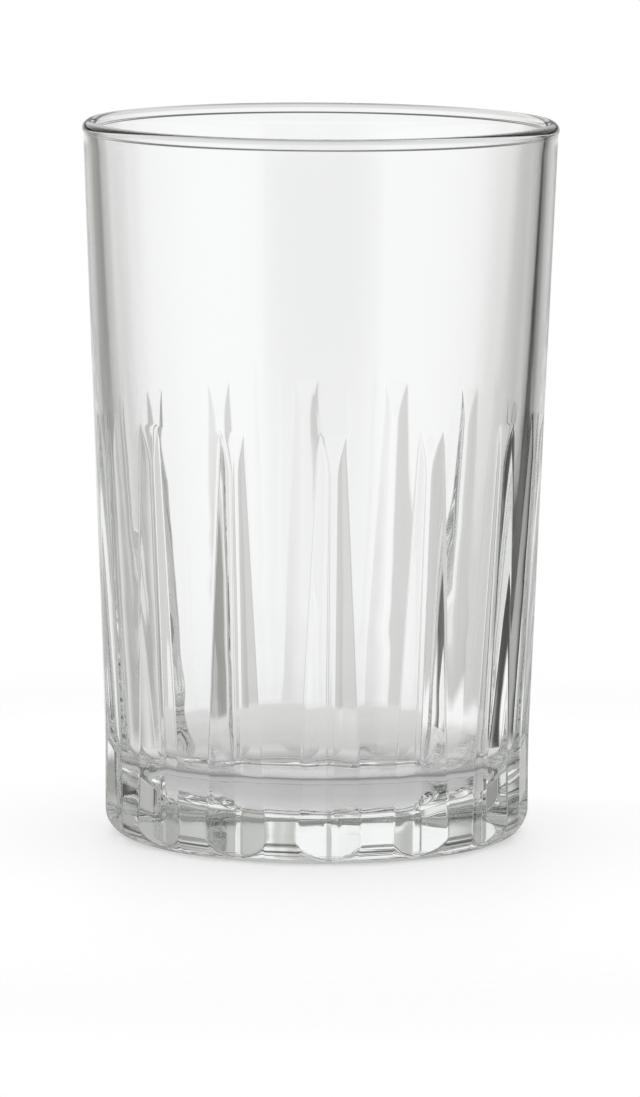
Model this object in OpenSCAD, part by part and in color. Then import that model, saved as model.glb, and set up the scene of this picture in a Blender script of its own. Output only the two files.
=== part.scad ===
// Highball tumbler of clear pressed glass: a rolled rim, a plain flaring wall, a band of
// tapering grooves round the lower wall, and a thick base that is rounded inside and out.
// The real tumbler is a single piece of glass. The nodes are the zones of that piece: they
// meet face to face where its form changes, and nothing moves.

/* [Overall] */
// Height from the foot to the top of the rim
height = 114.5; // [105:0.5:130]
// Outer diameter of the rim
rim_d = 76; // [74:0.5:80]
// Outer diameter of the straight band round the base
base_d = 68; // [66:0.5:72]
// Height of the straight band round the base
base_z = 16; // [14:0.5:18]

/* [Rim] */
// Thickness of the rim, which is the diameter of its bead
rim_t = 2.4; // [2:0.1:3]
// How far the bead stands out from the wall below it
bead_lip = 0.2; // [0.1:0.05:0.5]

/* [Cavity] */
// Height of the cavity's floor above the foot
floor_z = 5.4; // [4.5:0.1:8]
// Diameter of the flat middle of the floor
floor_flat_d = 24; // [22:1:28]
// Radius of the curve that rises round the flat middle
floor_bowl_r = 20; // [20:1:26]
// Radius of the corner between that curve and the inner wall
floor_fillet = 5; // [4:0.5:6]
// Inner diameter of the tapering wall where the straight band round the base ends
cavity_low_d = 58; // [56:0.2:58.4]
// Inner diameter at the top of the grooved band
cavity_mid_d = 66.6; // [64:0.2:67]

/* [Grooves] */
// Number of grooves round the wall
groove_n = 14; // [8:1:16]
// Height of the grooves' tips above the foot
groove_top = 68.2; // [56:0.2:76]
// Depth of a groove below the wall's surface at the foot
groove_foot_depth = 1.7; // [1.2:0.1:2]
// Depth that a groove would have at its tips if its floor did not sweep up there
groove_tip_depth = 0.5; // [0.4:0.1:0.8]
// Slope of a groove's two sides, in degrees from the wall's surface
groove_slope = 16; // [14:1:20]
// Width of the flat strip along the bottom of a groove
groove_strip_w = 1.1; // [0.6:0.1:2]
// Length over which a groove's floor sweeps up to the wall at its tips
groove_runout = 7; // [5:0.5:10]

/* [Foot] */
// Radius of the rounded heel
heel_r = 4; // [3:0.5:6]
// Width of the flat ring that the glass stands on
foot_ring_w = 1.8; // [1.5:0.1:4]
// Depth of the shallow recess inside the foot ring
foot_recess = 0.6; // [0.3:0.1:1.2]

/* [Hidden] */
$fn = 180;

// Clear glass, a little green where it is thick
glass_colour = [0.86, 0.90, 0.88, 0.5];

// The bead is a circle in section, and the wall meets it where the bead begins to stand out
bead_r = rim_t / 2;
bead_c = [rim_d / 2 - bead_r, height - bead_r];
bead_z = bead_c.y - sqrt(bead_r ^ 2 - (bead_r - bead_lip) ^ 2);
neck_r = rim_d / 2 - bead_lip;
mouth_r = rim_d / 2 - rim_t;

base_r = base_d / 2;

// The grooved band ends a little above the grooves' tips
tip_margin = 1.8;
band_z = groove_top + tip_margin;

// How far a groove's cutting shape stands clear of the wall, and of the ends of its zone
cut_clear = 1.5;

// Facets of a large circle, for the sweep at a groove's tips
large_fn = 720;

// How far the sweep at a groove's tips dips below the floor, so that the two cross cleanly
sweep_dip = 0.05;

// Value at z on the straight line from a at za to b at zb
function between(z, za, a, zb, b) = a + (b - a) * (z - za) / (zb - za);

// Outer radius of the wall: straight round the base, then flaring to the neck
function wall_r(z) = z < base_z ? base_r : between(z, base_z, base_r, bead_z, neck_r);

// Inner radius of the wall, which tapers faster inside the grooved band
function cavity_r(z) = z < band_z
    ? between(z, base_z, cavity_low_d / 2, band_z, cavity_mid_d / 2)
    : between(z, band_z, cavity_mid_d / 2, bead_c.y, mouth_r);

// Centre of the curve round the floor's flat middle
bowl_c = [floor_flat_d / 2, floor_z + floor_bowl_r];

// The corner circle touches that curve from inside, and the wall: its centre lies on a line beside
// the wall, at the distance of the two radii's difference from the curve's centre
bowl_gap = floor_bowl_r - floor_fillet;
cavity_taper = (cavity_r(band_z) - cavity_r(base_z)) / (band_z - base_z);
cavity_lean = atan(cavity_taper);
corner_axis_r = cavity_r(0) - floor_fillet / cos(cavity_lean);
corner_out = corner_axis_r - bowl_c.x;
corner_side = bowl_c.y - corner_out * cavity_taper;
corner_fall = corner_side ^ 2 * cos(cavity_lean) ^ 2 - corner_out ^ 2 - bowl_c.y ^ 2 + bowl_gap ^ 2;
corner_z = (corner_side * cos(cavity_lean) - sqrt(corner_fall)) * cos(cavity_lean);
corner_c = [corner_axis_r + cavity_taper * corner_z, corner_z];
bowl_turn = asin((corner_c.x - bowl_c.x) / bowl_gap);

// Depth of a groove, and the distance of its floor from the axis, without the sweep
function groove_depth(z) = between(z, 0, groove_foot_depth, groove_top, groove_tip_depth);
function groove_floor_y(z) = wall_r(z) - groove_depth(z);

// Section of a groove: the flat strip and two sloping sides that run on past the wall
module groove_section() {
    side_y = groove_foot_depth + cut_clear;
    side_x = groove_strip_w / 2 + side_y / tan(groove_slope);
    polygon([
        [-groove_strip_w / 2, 0],
        [groove_strip_w / 2, 0],
        [side_x, side_y],
        [-side_x, side_y]
    ]);
}

// A straight stretch of groove whose floor follows the wall's slope between two heights
module groove_stretch(z_low, z_high) {
    rise = z_high - z_low;
    tilt = atan((groove_floor_y(z_high) - groove_floor_y(z_low)) / rise);
    translate([0, groove_floor_y(z_low), z_low])
    rotate([-tilt, 0, 0])
    translate([0, 0, -cut_clear])
    linear_extrude(rise / cos(tilt) + 2 * cut_clear)
    groove_section();
}

// Outline, seen from the side, that ends a groove: its floor sweeps up in an arc to the wall
module groove_end_outline() {
    start_z = groove_top - groove_runout;
    depth = groove_depth(start_z);
    sweep_r = (groove_runout ^ 2 + depth ^ 2) / (2 * depth);
    start_y = groove_floor_y(start_z) - sweep_dip;
    translate([start_y + sweep_r, start_z]) circle(sweep_r, $fn = large_fn);
    translate([start_y - base_r / 2, 0]) square([base_r, start_z]);
}

// The groove of the grooved band, from the base to its tips
module band_groove() {
    intersection() {
        groove_stretch(base_z, groove_top);
        rotate([90, 0, 90]) linear_extrude(base_r, center = true) groove_end_outline();
    }
}

// The groove's lower end in the base, which runs out at the heel
module base_groove() {
    groove_stretch(0, base_z);
}

// A ring of copies of one groove, one of them facing -Y
module groove_ring() {
    for (i = [0 : groove_n - 1]) {
        rotate([0, 0, 180 + i * 360 / groove_n]) children();
    }
}

// Section of the wall between two heights
module wall_section(z_low, z_high) {
    polygon([
        [cavity_r(z_low), z_low],
        [wall_r(z_low), z_low],
        [wall_r(z_high), z_high],
        [cavity_r(z_high), z_high]
    ]);
}

// Section of the cavity up to a height: the curve round the floor, the corner and the rest
module cavity_section(z_high) {
    bowl_reach = floor_bowl_r + cut_clear;
    tangent_z = corner_c.y - floor_fillet * sin(cavity_lean);
    intersection() {
        translate(bowl_c) circle(floor_bowl_r);
        polygon([
            [0, bowl_c.y],
            [0, bowl_c.y - bowl_reach],
            bowl_c + [bowl_reach * tan(bowl_turn), -bowl_reach],
            bowl_c
        ]);
    }
    translate(corner_c) circle(floor_fillet);
    polygon([
        [0, floor_z],
        [bowl_c.x, floor_z],
        [bowl_c.x, corner_c.y],
        corner_c,
        [cavity_r(tangent_z), tangent_z],
        [cavity_r(z_high), z_high],
        [0, z_high]
    ]);
}

module rim_bead() {
    color(glass_colour)
    rotate_extrude() {
        translate(bead_c) circle(bead_r);
        polygon([
            [cavity_r(bead_z), bead_z],
            [neck_r, bead_z],
            bead_c,
            [mouth_r, bead_c.y]
        ]);
    }
}

module upper_wall() {
    color(glass_colour)
    rotate_extrude() wall_section(band_z, bead_z);
}

module fluted_wall() {
    color(glass_colour)
    difference() {
        rotate_extrude() difference() {
            polygon([[0, base_z], [base_r, base_z], [wall_r(band_z), band_z], [0, band_z]]);
            cavity_section(band_z + cut_clear);
        }
        groove_ring() band_groove();
    }
}

module heavy_base() {
    color(glass_colour)
    difference() {
        rotate_extrude() difference() {
            union() {
                translate([base_r - heel_r, heel_r]) circle(heel_r);
                polygon([
                    [0, 0],
                    [base_r - heel_r, 0],
                    [base_r, heel_r],
                    [base_r, base_z],
                    [0, base_z]
                ]);
            }
            cavity_section(band_z);
            foot_recess_section();
        }
        groove_ring() base_groove();
    }
}

// Section of the shallow recess under the base, with a sloping edge
module foot_recess_section() {
    ring_inner_r = base_r - heel_r - foot_ring_w;
    polygon([
        [0, -cut_clear],
        [ring_inner_r + cut_clear, -cut_clear],
        [ring_inner_r - foot_recess, foot_recess],
        [0, foot_recess]
    ]);
}

rim_bead();
upper_wall();
fluted_wall();
heavy_base();
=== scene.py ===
"""Clear pressed-glass highball tumbler on a plain pale floor.

The glass is one seamless closed mesh, because the real tumbler is one piece and light must not
meet a seam inside it. It stands for the four zones of the frame. Lengths are in metres and angles
in degrees.
"""

import math

import bpy
from mathutils import Matrix, Vector


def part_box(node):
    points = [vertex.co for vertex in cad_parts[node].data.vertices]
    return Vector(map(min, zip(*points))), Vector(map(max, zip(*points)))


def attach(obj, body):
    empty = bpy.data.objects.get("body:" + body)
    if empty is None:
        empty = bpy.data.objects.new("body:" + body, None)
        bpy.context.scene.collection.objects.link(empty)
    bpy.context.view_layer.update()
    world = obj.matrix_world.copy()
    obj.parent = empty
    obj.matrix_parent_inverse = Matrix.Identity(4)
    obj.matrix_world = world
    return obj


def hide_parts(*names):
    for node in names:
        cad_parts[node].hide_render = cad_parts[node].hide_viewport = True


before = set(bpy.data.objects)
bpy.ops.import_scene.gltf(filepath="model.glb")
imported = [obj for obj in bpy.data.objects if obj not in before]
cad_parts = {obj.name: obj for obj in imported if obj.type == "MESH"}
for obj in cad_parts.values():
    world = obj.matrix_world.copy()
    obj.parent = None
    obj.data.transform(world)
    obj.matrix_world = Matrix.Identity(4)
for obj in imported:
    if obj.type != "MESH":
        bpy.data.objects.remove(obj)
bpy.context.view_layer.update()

# Sizes that the frame gives
RIM_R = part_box("rim_bead")[1].x
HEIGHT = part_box("rim_bead")[1].z
NECK_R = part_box("upper_wall")[1].x
BEAD_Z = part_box("upper_wall")[1].z
BAND_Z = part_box("fluted_wall")[1].z
BASE_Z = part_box("heavy_base")[1].z
BASE_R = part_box("heavy_base")[1].x

# Rim and cavity
BEAD_R = 0.0012
MOUTH_R = RIM_R - 2 * BEAD_R
FLOOR_Z = 0.0054
FLOOR_FLAT_R = 0.012
BOWL_R = 0.020
FLOOR_FILLET = 0.005
CAVITY_LOW_R = 0.0290
CAVITY_MID_R = 0.0333

# Grooves
GROOVE_N = 14
GROOVE_TOP = 0.0682
STRIP_HALF = 0.00055
FLANK_SLOPE = 16.0
DEPTH_TIP = 0.0005
DEPTH_FOOT = 0.0017
RUNOUT = 0.007
TIP_SOFT = 0.00005
STRIP_ROUND = 0.0003
EDGE_ROUND = 0.00035
# The most of a groove's side, and of half its strip, that a rounded edge takes up
FLANK_ROUND_SHARE = 0.4
STRIP_ROUND_SHARE = 0.8
# The least of a groove's side that is left at its tips
LEAST_FLANK_SHARE = 0.1
# Length above the tips over which the columns of the mesh spread out evenly
COLUMN_SPREAD = 0.02

# Foot
HEEL_R = 0.004
FOOT_RING_W = 0.0018
FOOT_RECESS = 0.0006
CREASE_ROUND = 0.00035

# How softly the straight runs of the two walls bend into each other
WALL_BEND = 0.003
CAVITY_BEND = 0.012

# Columns of half a groove's period, from its middle to the middle of the rib beside it
BEND_STEPS = 4
FLANK_STEPS = 3
RIB_STEPS = 4

# Rows of the mesh in each stretch of the outline, from the underside over the rim to the floor
RECESS_STEPS = 6
RECESS_EDGE_STEPS = 4
FOOT_RING_SHARES = (0.35, 0.7)
HEEL_ARC_STEPS = 9
HEEL_WALL_STEPS = 7
BASE_STEPS = 12
GROOVE_STEPS = 22
TIP_STEPS = 30
PLAIN_STEPS = 21
BEAD_STEPS = 20
INNER_STEPS = 24
CORNER_STEPS = 10
BOWL_STEPS = 28
FLOOR_STEPS = 4

# Where those stretches end: the heel's top, and distances from the base, the tips and the bead
HEEL_TOP = 0.0055
ROWS_ABOVE_BASE = 0.004
ROWS_BELOW_RUNOUT = 0.001
ROWS_ABOVE_TIPS = 0.0012
ROWS_BELOW_BEAD = 0.0001
ROWS_INSIDE_MOUTH = 0.0015
# Share of the bead's lower outer arc that has rows
BEAD_START_SHARE = 0.96
# Rounds of the search for the centre of the corner inside
CORNER_ROUNDS = 40


def mix(a, b, t):
    return a + (b - a) * t


def ease(t):
    """Soft step from 0 to 1."""
    t = min(max(t, 0.0), 1.0)
    return t * t * (3 - 2 * t)


def ramp(x, soft):
    """0 where x is below 0 and x where it is above, with a soft bend between."""
    return (x + math.sqrt(x * x + soft * soft)) / 2


def spread(a, b, n):
    """n values from a towards b, evenly spaced, without b itself."""
    return [mix(a, b, i / n) for i in range(n)]


def wall_r(z):
    """Outer radius of the wall, without grooves."""
    slope = (NECK_R - BASE_R) / (BEAD_Z - BASE_Z)
    return BASE_R + slope * ramp(z - BASE_Z, WALL_BEND)


def cavity_r(z):
    """Inner radius of the wall, which tapers faster in the grooved band."""
    low = (CAVITY_MID_R - CAVITY_LOW_R) / (BAND_Z - BASE_Z)
    high = (MOUTH_R - CAVITY_MID_R) / (HEIGHT - BEAD_R - BAND_Z)
    return CAVITY_MID_R + low * (z - BAND_Z) + (high - low) * ramp(z - BAND_Z, CAVITY_BEND)


def groove_depth(z):
    """Depth that a groove has before its run-out, and its depth with the run-out at its tips."""
    full = mix(DEPTH_FOOT, DEPTH_TIP, min(z, GROOVE_TOP) / GROOVE_TOP)
    below = (GROOVE_TOP - z) / RUNOUT
    if below > 1:
        return full, full
    share = 1 - (1 - below) ** 2 if below > 0 else 2 * below
    return full, ramp(full * share, TIP_SOFT)


def along_flank(foot, radius):
    """Point where the side of a groove that starts at foot reaches a distance from the axis."""
    slope = math.tan(math.radians(FLANK_SLOPE))
    a = 1 + slope * slope
    b = foot.x + slope * foot.y
    c = foot.length_squared - radius * radius
    step = max((math.sqrt(b * b - a * c) - b) / a, 0.0)
    return foot + Vector((1.0, slope)) * step


def bend(a, corner, b):
    """Points on the soft curve from a to b that the corner pulls on."""
    points = []
    for i in range(BEND_STEPS + 1):
        t = i / BEND_STEPS
        points.append(a.lerp(corner, t).lerp(corner.lerp(b, t), t))
    return points


def groove_half(z):
    """Half of one groove's period at height z, as (angle from the groove's middle, radius)."""
    r = wall_r(z)
    half_period = math.pi / GROOVE_N
    full, depth = groove_depth(z)
    foot = Vector((STRIP_HALF, r - full))
    edge = along_flank(foot, r)
    side = along_flank(foot, r - depth)
    if (edge - side).length < LEAST_FLANK_SHARE * (edge - foot).length:
        side = edge.lerp(foot, LEAST_FLANK_SHARE)
        side *= (r - depth) / side.length
    middle = Vector((0.0, side.length))
    flank = edge - side
    near = min(STRIP_ROUND, FLANK_ROUND_SHARE * flank.length, STRIP_ROUND_SHARE * side.x)
    far = min(EDGE_ROUND, FLANK_ROUND_SHARE * flank.length)
    edge_angle = math.atan2(edge.x, edge.y)
    rib_angle = edge_angle + far / r
    rib = Vector((math.sin(rib_angle), math.cos(rib_angle))) * r
    low = bend(side - Vector((near, 0.0)), side, side + flank.normalized() * near)
    high = bend(edge - flank.normalized() * far, edge, rib)
    points = [middle, middle.lerp(low[0], 0.5)] + low
    points += [low[-1].lerp(high[0], i / FLANK_STEPS) for i in range(1, FLANK_STEPS)]
    points += high
    section = [(math.atan2(p.x, p.y), p.length) for p in points]
    for i in range(1, RIB_STEPS + 1):
        section.append((mix(rib_angle, half_period, i / RIB_STEPS), r))
    if z > GROOVE_TOP:
        relax = ease((z - GROOVE_TOP) / COLUMN_SPREAD)
        last = len(section) - 1
        section = [(mix(a, half_period * i / last, relax), r) for i, (a, _) in enumerate(section)]
    return section


def plain_half(r):
    """Half of a period at an even radius, with as many columns as a groove has."""
    last = len(groove_half(BAND_Z)) - 1
    return [(math.pi / GROOVE_N * i / last, r) for i in range(last + 1)]


def level(section, z):
    """Row of the mesh from a section at one height."""
    return [(a, r, z) for a, r in section]


def foot_rows():
    """Underside, from near the axis to the outer edge of the foot ring."""
    ring_out = BASE_R - HEEL_R
    ring_in = ring_out - FOOT_RING_W
    flat = ring_in - FOOT_RECESS
    angles = [a for a, _ in groove_half(0.0)]
    rows = []
    for r in spread(flat / RECESS_STEPS, flat, RECESS_STEPS):
        rows.append([(a, r, FOOT_RECESS) for a in angles])
    for i in range(RECESS_EDGE_STEPS + 1):
        t = i / RECESS_EDGE_STEPS
        rows.append([(a, flat + FOOT_RECESS * t, FOOT_RECESS * (1 - ease(t))) for a in angles])
    for t in FOOT_RING_SHARES:
        rows.append([(a, mix(ring_in, ring_out, t), 0.0) for a in angles])
    return rows


def heel_point(turn):
    """Point (radius, height) on the heel's arc, at an angle in radians down from its widest place."""
    centre_r = BASE_R - HEEL_R
    return Vector((centre_r + HEEL_R * math.cos(turn), HEEL_R * (1 - math.sin(turn))))


def heel_rows():
    """Rounded heel. Each column leaves the heel where its groove cuts it."""
    columns = []
    for angle, radius in groove_half(HEEL_R):
        cut = math.acos(min(max(1 - (BASE_R - radius) / HEEL_R, -1.0), 1.0))
        leave = cut + CREASE_ROUND / HEEL_R
        column = [heel_point(turn) for turn in spread(math.pi / 2, leave, HEEL_ARC_STEPS)]
        corner = Vector((radius, HEEL_R * (1 - math.sin(cut))))
        end = corner + Vector((0.0, CREASE_ROUND))
        column += bend(heel_point(leave), corner, end)
        for i in range(1, HEEL_WALL_STEPS):
            column.append(Vector((radius, mix(end.y, HEEL_TOP, i / HEEL_WALL_STEPS))))
        columns.append([(angle, p.x, p.y) for p in column])
    return [list(row) for row in zip(*columns)]


def wall_rows():
    """Outer wall from above the heel to below the bead."""
    groove_z = BASE_Z + ROWS_ABOVE_BASE
    sweep_z = GROOVE_TOP - RUNOUT - ROWS_BELOW_RUNOUT
    tip_z = GROOVE_TOP + ROWS_ABOVE_TIPS
    neck_z = BEAD_Z - ROWS_BELOW_BEAD
    heights = spread(HEEL_TOP, groove_z, BASE_STEPS) + spread(groove_z, sweep_z, GROOVE_STEPS)
    heights += spread(sweep_z, tip_z, TIP_STEPS) + spread(tip_z, neck_z, PLAIN_STEPS) + [neck_z]
    return [level(groove_half(z), z) for z in heights]


def bead_rows():
    """Bead from its lower outer edge over the top to its inner side."""
    centre = Vector((RIM_R - BEAD_R, HEIGHT - BEAD_R))
    start = -math.acos((NECK_R - centre.x) / BEAD_R)
    rows = []
    for i in range(BEAD_STEPS + 1):
        turn = mix(start * BEAD_START_SHARE, math.pi, i / BEAD_STEPS)
        r = centre.x + BEAD_R * math.cos(turn)
        rows.append(level(plain_half(r), centre.y + BEAD_R * math.sin(turn)))
    return rows


def cavity_rows():
    """Inner wall from the bead down to the floor's middle."""
    taper = (CAVITY_MID_R - CAVITY_LOW_R) / (BAND_Z - BASE_Z)
    lean = math.atan(taper)
    reach = BOWL_R - FLOOR_FILLET
    corner_z = FLOOR_Z + FLOOR_FILLET
    for _ in range(CORNER_ROUNDS):
        corner_r = cavity_r(corner_z) - FLOOR_FILLET / math.cos(lean)
        out = corner_r - FLOOR_FLAT_R
        corner_z = FLOOR_Z + BOWL_R - math.sqrt(reach * reach - out * out)
    tangent_z = corner_z - FLOOR_FILLET * math.sin(lean)
    meet = math.asin(out / reach)
    rows = []
    for z in spread(HEIGHT - BEAD_R - ROWS_INSIDE_MOUTH, tangent_z, INNER_STEPS):
        rows.append(level(plain_half(cavity_r(z)), z))
    for turn in spread(-lean, meet - math.pi / 2, CORNER_STEPS):
        r = corner_r + FLOOR_FILLET * math.cos(turn)
        rows.append(level(plain_half(r), corner_z + FLOOR_FILLET * math.sin(turn)))
    for turn in spread(meet, 0.0, BOWL_STEPS):
        r = FLOOR_FLAT_R + BOWL_R * math.sin(turn)
        rows.append(level(plain_half(r), FLOOR_Z + BOWL_R * (1 - math.cos(turn))))
    for r in spread(FLOOR_FLAT_R, 0.0, FLOOR_STEPS):
        rows.append(level(plain_half(r), FLOOR_Z))
    return rows


def ring(row):
    """Full ring of points from half a period: each groove mirrored about its middle."""
    points = []
    for i in range(GROOVE_N):
        middle = -math.pi / 2 + i * 2 * math.pi / GROOVE_N
        period = [(-a, r, z) for a, r, z in row[:0:-1]] + row[:-1]
        for a, r, z in period:
            points.append((r * math.cos(middle + a), r * math.sin(middle + a), z))
    return points


def glass_mesh():
    """Closed mesh of the glass: rings from the underside's middle to the floor's middle."""
    rows = foot_rows() + heel_rows() + wall_rows() + bead_rows() + cavity_rows()
    verts = [(0.0, 0.0, FOOT_RECESS)]
    for row in rows:
        verts += ring(row)
    verts.append((0.0, 0.0, FLOOR_Z))
    n = len(ring(rows[0]))
    faces = []
    for j in range(n):
        faces.append((0, 1 + (j + 1) % n, 1 + j))
    for k in range(len(rows) - 1):
        low, high = 1 + k * n, 1 + (k + 1) * n
        for j in range(n):
            after = (j + 1) % n
            faces.append((low + j, low + after, high + after, high + j))
    last = 1 + (len(rows) - 1) * n
    for j in range(n):
        faces.append((last + j, last + (j + 1) % n, len(verts) - 1))
    mesh = bpy.data.meshes.new("glass_body")
    mesh.from_pydata(verts, [], faces)
    mesh.polygons.foreach_set("use_smooth", [True] * len(mesh.polygons))
    mesh.validate()
    return mesh


# Opaque white for colour sockets
WHITE = (1.0, 1.0, 1.0, 1.0)


def new_material(name):
    mat = bpy.data.materials.new(name)
    mat.use_nodes = True
    return mat, mat.node_tree.nodes, mat.node_tree.links


def feed(links, value, socket):
    """Set a socket to a number, or link another socket to it."""
    if isinstance(value, (int, float)):
        socket.default_value = value
    else:
        links.new(value, socket)


def math_node(nodes, links, operation, a, b=None):
    node = nodes.new("ShaderNodeMath")
    node.operation = operation
    feed(links, a, node.inputs[0])
    if b is not None:
        feed(links, b, node.inputs[1])
    return node.outputs[0]


def noise_node(nodes, links, coords, size, detail):
    noise = nodes.new("ShaderNodeTexNoise")
    noise.inputs["Scale"].default_value = 1 / size
    noise.inputs["Detail"].default_value = detail
    links.new(coords.outputs["Object"], noise.inputs["Vector"])
    return noise.outputs["Fac"]


def fade_node(nodes, links, value, full, none):
    """1 where the value is at full, 0 where it is at none, and soft between."""
    fade = nodes.new("ShaderNodeMapRange")
    fade.interpolation_type = "SMOOTHSTEP"
    fade.inputs["From Min"].default_value = none
    fade.inputs["From Max"].default_value = full
    links.new(value, fade.inputs["Value"])
    return fade.outputs["Result"]


def reach_node(nodes, links):
    """Distance from the object's origin, in its own units."""
    coords = nodes.new("ShaderNodeTexCoord")
    reach = nodes.new("ShaderNodeVectorMath")
    reach.operation = "LENGTH"
    links.new(coords.outputs["Object"], reach.inputs[0])
    return reach.outputs["Value"]


def tones(nodes, links, share, low, high, stops):
    """Brightness that (value, brightness) stops give at a share of the way from low to high."""
    scale = nodes.new("ShaderNodeValToRGB")
    scale.color_ramp.interpolation = "EASE"
    elements = scale.color_ramp.elements
    # New stops start in the middle and then move to their places
    while len(elements) < len(stops):
        elements.new(0.5)
    for element, (value, bright) in zip(elements, stops):
        element.position = (value - low) / (high - low)
        element.color = (bright, bright, bright, 1.0)
    links.new(share, scale.inputs["Fac"])
    return scale.outputs["Color"]


def mix_shader(nodes, links, share, first, second):
    """Shader that turns from the first into the second as the share goes from 0 to 1."""
    blend = nodes.new("ShaderNodeMixShader")
    links.new(share, blend.inputs["Fac"])
    links.new(first, blend.inputs[1])
    links.new(second, blend.inputs[2])
    return blend.outputs[0]


# Soda-lime glass, a little green where it is thick
GLASS_IOR = 1.51
GLASS_TINT = (0.86, 0.90, 0.88, 1.0)
GLASS_DENSITY = 6.0
# Faint waves that pressing leaves in the glass, strongest in its lower part
WAVE_SIZE = 0.011
WAVE_DETAIL = 1.0
WAVE_HEIGHT = 0.00009
WAVE_FULL_Z = 0.030
WAVE_NONE_Z = 0.085
# Wear that dulls the foot
WEAR_SIZE = 0.0009
WEAR_DETAIL = 4.0
WEAR_Z = 0.0012
WEAR_ROUGHNESS = 0.25


def glass_material():
    mat, nodes, links = new_material("pressed_glass")
    shader = nodes["Principled BSDF"]
    shader.inputs["Base Color"].default_value = WHITE
    shader.inputs["Transmission Weight"].default_value = 1.0
    shader.inputs["IOR"].default_value = GLASS_IOR
    coords = nodes.new("ShaderNodeTexCoord")
    split = nodes.new("ShaderNodeSeparateXYZ")
    links.new(coords.outputs["Object"], split.inputs[0])
    height = split.outputs["Z"]
    bump = nodes.new("ShaderNodeBump")
    bump.inputs["Distance"].default_value = WAVE_HEIGHT
    links.new(noise_node(nodes, links, coords, WAVE_SIZE, WAVE_DETAIL), bump.inputs["Height"])
    waves = fade_node(nodes, links, height, WAVE_FULL_Z, WAVE_NONE_Z)
    links.new(waves, bump.inputs["Strength"])
    links.new(bump.outputs["Normal"], shader.inputs["Normal"])
    scuff = noise_node(nodes, links, coords, WEAR_SIZE, WEAR_DETAIL)
    near_foot = fade_node(nodes, links, height, 0.0, WEAR_Z)
    scuff = math_node(nodes, links, "MULTIPLY", scuff, near_foot)
    scuff = math_node(nodes, links, "MULTIPLY", scuff, WEAR_ROUGHNESS)
    links.new(scuff, shader.inputs["Roughness"])
    volume = nodes.new("ShaderNodeVolumeAbsorption")
    volume.inputs["Color"].default_value = GLASS_TINT
    volume.inputs["Density"].default_value = GLASS_DENSITY
    links.new(volume.outputs["Volume"], nodes["Material Output"].inputs["Volume"])
    return mat


def add_glass():
    glass = bpy.data.objects.new("glass_body", glass_mesh())
    bpy.context.scene.collection.objects.link(glass)
    glass.data.materials.append(glass_material())
    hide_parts("rim_bead", "upper_wall", "fluted_wall", "heavy_base")
    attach(glass, "root")


# Compass angle at which the camera looks, clockwise from the frame's Y axis
VIEW_AZIMUTH = 3.55
# Ends of the scales of compass angle and elevation
COMPASS = (-180, 180)
ELEVATION = (-90, 90)
# Brightness of the studio round the glass by compass angle, clockwise from the way the camera looks
STUDIO = (
    # Dark behind the camera, then a pale wall at the left
    (-180, 0.20),
    (-166, 0.22),
    (-142, 0.95),
    (-85, 0.84),
    # Dark gap, pale strip and grey panel behind the glass at the left
    (-72, 0.36),
    (-64, 0.38),
    (-57, 0.72),
    (-50, 0.62),
    (-42, 0.34),
    (-34, 0.29),
    (-26, 0.33),
    (-20, 0.55),
    # Bright panel straight behind the glass
    (-13, 0.84),
    (-10, 0.95),
    (-8, 0.98),
    (-4, 1.0),
    (3, 0.98),
    (5.5, 0.94),
    # Paler grey, black panel and pale strip at the right
    (8, 0.82),
    (10, 0.70),
    (20, 0.64),
    (24, 0.56),
    (32, 0.22),
    (35, 0.03),
    (44, 0.03),
    (50, 0.42),
    (60, 0.24),
    # Pale wall at the right, then dark behind the camera
    (75, 0.45),
    (112, 0.70),
    (147, 0.70),
    (152, 0.20),
    (180, 0.20),
)
# Canopy over the studio, by the same compass angles
CANOPY = (
    (-180, 0.45),
    (-60, 0.45),
    (-40, 0.46),
    (-30, 0.72),
    (-22, 0.98),
    (-15, 1.0),
    (3, 1.0),
    (7, 0.66),
    (12, 0.58),
    (25, 0.50),
    (40, 0.40),
    (180, 0.45),
)
CANOPY_LOW = 3.0
CANOPY_HIGH = 9.0
CEILING = 0.30
CEILING_LOW = 45.0
CEILING_HIGH = 65.0
# Table below the studio, by the same compass angles
TABLE = (
    (-180, 0.55),
    (-152, 0.96),
    (-120, 0.96),
    (-95, 0.60),
    (-66, 0.50),
    (-55, 0.84),
    (-45, 0.70),
    (-33, 0.64),
    (-20, 0.74),
    (-10, 0.94),
    (2, 0.96),
    (10, 0.84),
    (20, 0.80),
    (26, 0.58),
    (31, 0.06),
    (47, 0.04),
    (53, 0.50),
    (95, 0.60),
    (120, 0.96),
    (152, 0.96),
    (180, 0.55),
)
TABLE_HIGH = -11.0
TABLE_LOW = -18.0
# Plain pale ground further down
GROUND = 0.82
GROUND_HIGH = -16.0
GROUND_LOW = -20.0
# Share of all that brightness by elevation: the ground darkens downwards, and there is a dark line
# just above eye level
BY_ELEVATION = (
    (-90, 0.20),
    (-72, 0.33),
    (-58, 0.50),
    (-48, 0.68),
    (-40, 0.86),
    (-30, 0.95),
    (1.8, 1.0),
    (3.6, 0.16),
    (5.8, 0.16),
    (8.5, 1.0),
    (90, 1.0),
)
# Tint of the studio's light and of its dark panels
LIGHT_TINT = (0.988, 1.0, 0.998, 1.0)
DARK_TINT = (1.0, 0.99, 0.92, 1.0)
# Even light that falls on the floor
SOFT_LIGHT = 1.0


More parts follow.
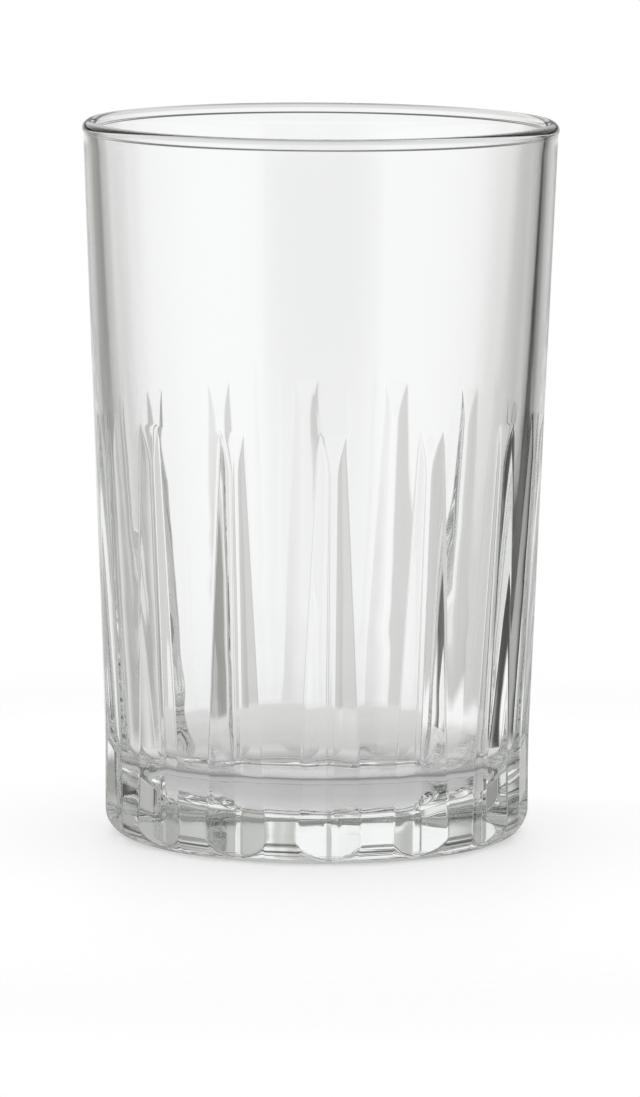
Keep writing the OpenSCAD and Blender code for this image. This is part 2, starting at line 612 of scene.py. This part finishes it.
def by_height(nodes, links, rise_z, start, end, before, after):
    """One brightness turning into another from a start elevation to an end elevation."""
    share = nodes.new("ShaderNodeMapRange")
    share.interpolation_type = "SMOOTHSTEP"
    share.inputs["From Min"].default_value = math.sin(math.radians(start))
    share.inputs["From Max"].default_value = math.sin(math.radians(end))
    links.new(rise_z, share.inputs["Value"])
    blend = nodes.new("ShaderNodeMix")
    blend.data_type = "FLOAT"
    links.new(share.outputs["Result"], blend.inputs["Factor"])
    links.new(before, blend.inputs["A"])
    feed(links, after, blend.inputs["B"])
    return blend.outputs["Result"]


def compass_share(nodes, links, direction):
    """Compass angle as a share of a turn, with the way the camera looks in the middle of the scale."""
    turn = math_node(nodes, links, "ARCTAN2", direction.outputs["X"], direction.outputs["Y"])
    turn = math_node(nodes, links, "SUBTRACT", turn, math.radians(VIEW_AZIMUTH))
    turn = math_node(nodes, links, "DIVIDE", turn, 2 * math.pi)
    # Half a turn puts that way in the middle, and a whole one keeps the sum above 0
    turn = math_node(nodes, links, "ADD", turn, 1.5)
    return math_node(nodes, links, "FRACT", turn)


def elevation_share(nodes, links, rise_z):
    """Elevation as a share of the way from straight down to straight up."""
    rise = math_node(nodes, links, "ARCSINE", rise_z)
    rise = math_node(nodes, links, "DIVIDE", rise, math.pi)
    return math_node(nodes, links, "ADD", rise, 0.5)


def studio_brightness(nodes, links):
    """Brightness of the studio in the direction of a ray."""
    coords = nodes.new("ShaderNodeTexCoord")
    direction = nodes.new("ShaderNodeSeparateXYZ")
    links.new(coords.outputs["Generated"], direction.inputs[0])
    rise_z = direction.outputs["Z"]
    turn = compass_share(nodes, links, direction)
    bright = tones(nodes, links, turn, *COMPASS, STUDIO)
    canopy = tones(nodes, links, turn, *COMPASS, CANOPY)
    bright = by_height(nodes, links, rise_z, CANOPY_LOW, CANOPY_HIGH, bright, canopy)
    bright = by_height(nodes, links, rise_z, CEILING_LOW, CEILING_HIGH, bright, CEILING)
    table = tones(nodes, links, turn, *COMPASS, TABLE)
    bright = by_height(nodes, links, rise_z, TABLE_HIGH, TABLE_LOW, bright, table)
    bright = by_height(nodes, links, rise_z, GROUND_HIGH, GROUND_LOW, bright, GROUND)
    rise = elevation_share(nodes, links, rise_z)
    share = tones(nodes, links, rise, *ELEVATION, BY_ELEVATION)
    return math_node(nodes, links, "MULTIPLY", bright, share)


def background(nodes, colour):
    node = nodes.new("ShaderNodeBackground")
    node.inputs["Color"].default_value = colour
    return node


def studio_world():
    """The glass shows the studio, the floor gets soft light and the camera sees plain white."""
    world = bpy.data.worlds.new("studio")
    bpy.context.scene.world = world
    world.use_nodes = True
    nodes, links = world.node_tree.nodes, world.node_tree.links
    nodes.clear()
    bright = studio_brightness(nodes, links)
    tint = nodes.new("ShaderNodeMix")
    tint.data_type = "RGBA"
    links.new(bright, tint.inputs["Factor"])
    tint.inputs["A"].default_value = DARK_TINT
    tint.inputs["B"].default_value = LIGHT_TINT
    studio = nodes.new("ShaderNodeBackground")
    links.new(bright, studio.inputs["Strength"])
    links.new(tint.outputs["Result"], studio.inputs["Color"])
    soft = background(nodes, WHITE)
    soft.inputs["Strength"].default_value = SOFT_LIGHT
    plain = background(nodes, WHITE)
    path = nodes.new("ShaderNodeLightPath")
    to_floor = path.outputs["Is Diffuse Ray"]
    to_camera = path.outputs["Is Camera Ray"]
    surface = mix_shader(nodes, links, to_floor, studio.outputs[0], soft.outputs[0])
    surface = mix_shader(nodes, links, to_camera, surface, plain.outputs[0])
    out = nodes.new("ShaderNodeOutputWorld")
    links.new(surface, out.inputs["Surface"])


# Floor: seen directly it fades into the white background
FLOOR_R = 0.2
FLOOR_SIDES = 96
FLOOR_COLOUR = (0.60, 0.60, 0.60, 1.0)
FLOOR_ROUGHNESS = 0.6
FLOOR_LIGHT = 0.48
FADE_IN = 0.045
FADE_OUT = 0.18
# Painted glow of the floor that shows through the glass, by distance from the glass's axis: dim
# under the glass as painted shade, a painted contact shadow where the foot touches it, and paler
# outwards
PAINTED_GLOW_UNDER_GLASS = (
    (0.0, 0.58),
    (0.018, 0.58),
    (0.024, 0.52),
    (0.0286, 0.50),
    (0.0296, 0.46),
    (0.0306, 0.26),
    (0.0324, 0.36),
    (0.035, 0.52),
    (0.038, 0.66),
    (0.044, 0.80),
)
GLASS_FADE_IN = 0.034
GLASS_FADE_OUT = 0.041
# How much of the studio the floor beyond that lets through, by the same distance
LET_THROUGH = (
    (0.0, 0.90),
    (0.06, 0.91),
    (0.11, 0.94),
    (0.16, 0.98),
    (0.2, 1.0),
)


def direct_floor(nodes, links, reach):
    """Floor as the camera sees it."""
    shader = nodes["Principled BSDF"]
    shader.inputs["Base Color"].default_value = FLOOR_COLOUR
    shader.inputs["Roughness"].default_value = FLOOR_ROUGHNESS
    shader.inputs["Emission Strength"].default_value = FLOOR_LIGHT
    clear = nodes.new("ShaderNodeBsdfTransparent")
    share = fade_node(nodes, links, reach, FADE_IN, FADE_OUT)
    return mix_shader(nodes, links, share, clear.outputs[0], shader.outputs[0])


def floor_through_glass(nodes, links, reach):
    """Floor as the glass shows it: a painted glow near the glass, with a painted contact shadow at the
    foot, that gives way to the studio's table.
    """
    last = PAINTED_GLOW_UNDER_GLASS[-1][0]
    share = math_node(nodes, links, "DIVIDE", reach, last)
    # The glow's strength is painted light under the glass, with a painted contact shadow where the
    # foot touches the floor
    glow = nodes.new("ShaderNodeEmission")
    links.new(tones(nodes, links, share, 0.0, last, PAINTED_GLOW_UNDER_GLASS), glow.inputs["Strength"])
    share = math_node(nodes, links, "DIVIDE", reach, FLOOR_R)
    clear = nodes.new("ShaderNodeBsdfTransparent")
    links.new(tones(nodes, links, share, 0.0, FLOOR_R, LET_THROUGH), clear.inputs["Color"])
    share = fade_node(nodes, links, reach, GLASS_FADE_IN, GLASS_FADE_OUT)
    return mix_shader(nodes, links, share, clear.outputs[0], glow.outputs[0])


def floor_material():
    mat, nodes, links = new_material("pale_floor_and_painted_glow")
    reach = reach_node(nodes, links)
    path = nodes.new("ShaderNodeLightPath")
    glass_rays = (path.outputs["Is Transmission Ray"], path.outputs["Is Glossy Ray"])
    from_glass = math_node(nodes, links, "MAXIMUM", *glass_rays)
    direct = direct_floor(nodes, links, reach)
    # Glass rays see the floor's painted glow and painted contact shadow
    through = floor_through_glass(nodes, links, reach)
    surface = mix_shader(nodes, links, from_glass, direct, through)
    links.new(surface, nodes["Material Output"].inputs["Surface"])
    return mat


def add_floor():
    bpy.ops.mesh.primitive_circle_add(vertices=FLOOR_SIDES, radius=FLOOR_R, fill_type="NGON")
    floor = bpy.context.object
    floor.name = "floor"
    floor.data.materials.append(floor_material())


# Glowing oval card on the floor behind the glass and to its right, which only the glass shows: a
# painted glow that lights nothing and shows as a bright patch in the glass
CARD_AZIMUTH = 41.0
CARD_AWAY = 0.105
CARD_HALF_LENGTH = 0.070
CARD_HALF_WIDTH = 0.027
CARD_Z = 0.0003
CARD_GLOW = 1.0
# Shares of the card's reach at which it is full and at which it has faded out
CARD_FULL = 0.6
CARD_NONE = 1.0


def card_material():
    mat, nodes, links = new_material("glowing_card")
    nodes.remove(nodes["Principled BSDF"])
    clear = nodes.new("ShaderNodeBsdfTransparent")
    # Painted glow of the card, which only the glass shows
    glow = nodes.new("ShaderNodeEmission")
    glow.inputs["Strength"].default_value = CARD_GLOW
    share = fade_node(nodes, links, reach_node(nodes, links), CARD_FULL, CARD_NONE)
    surface = mix_shader(nodes, links, share, clear.outputs[0], glow.outputs[0])
    links.new(surface, nodes["Material Output"].inputs["Surface"])
    return mat


def add_card():
    bpy.ops.mesh.primitive_plane_add(size=2.0)
    card = bpy.context.object
    card.name = "card"
    turn = math.radians(CARD_AZIMUTH + VIEW_AZIMUTH)
    card.location = (CARD_AWAY * math.sin(turn), CARD_AWAY * math.cos(turn), CARD_Z)
    card.rotation_euler.z = -turn
    card.scale = (CARD_HALF_WIDTH, CARD_HALF_LENGTH, 1.0)
    card.visible_camera = False
    card.visible_diffuse = False
    card.visible_shadow = False
    card.data.materials.append(card_material())


# Camera of the photo: its picture's height and focal length in pixels, and its place
PHOTO_H = 1097
FOCAL_PX = 7471.0
SENSOR = 36.0
CAMERA_AWAY = 1.186
CAMERA_UP = 0.2093
CAMERA_PITCH = 7.85
CAMERA_ROLL = 0.375
CAMERA_SHIFT_PX = 1.9


def add_camera():
    data = bpy.data.cameras.new("camera")
    data.sensor_width = SENSOR
    data.lens = FOCAL_PX / PHOTO_H * SENSOR
    data.shift_x = CAMERA_SHIFT_PX / PHOTO_H
    camera = bpy.data.objects.new("camera", data)
    bpy.context.scene.collection.objects.link(camera)
    bpy.context.scene.camera = camera
    yaw = Matrix.Rotation(math.radians(-VIEW_AZIMUTH), 4, "Z")
    tilt = Matrix.Rotation(math.radians(90 - CAMERA_PITCH), 4, "X")
    roll = Matrix.Rotation(math.radians(CAMERA_ROLL), 4, "Z")
    place = Matrix.Translation(Vector((0.0, -CAMERA_AWAY, CAMERA_UP)))
    camera.matrix_world = yaw @ place @ tilt @ roll


# How often light may turn on its way through the glass
MAX_BOUNCES = 32
GLOSSY_BOUNCES = 24


def set_look():
    scene = bpy.context.scene
    scene.view_settings.view_transform = "Standard"
    scene.cycles.max_bounces = MAX_BOUNCES
    scene.cycles.transmission_bounces = MAX_BOUNCES
    scene.cycles.glossy_bounces = GLOSSY_BOUNCES


add_glass()
add_floor()
add_card()
studio_world()
add_camera()
set_look()
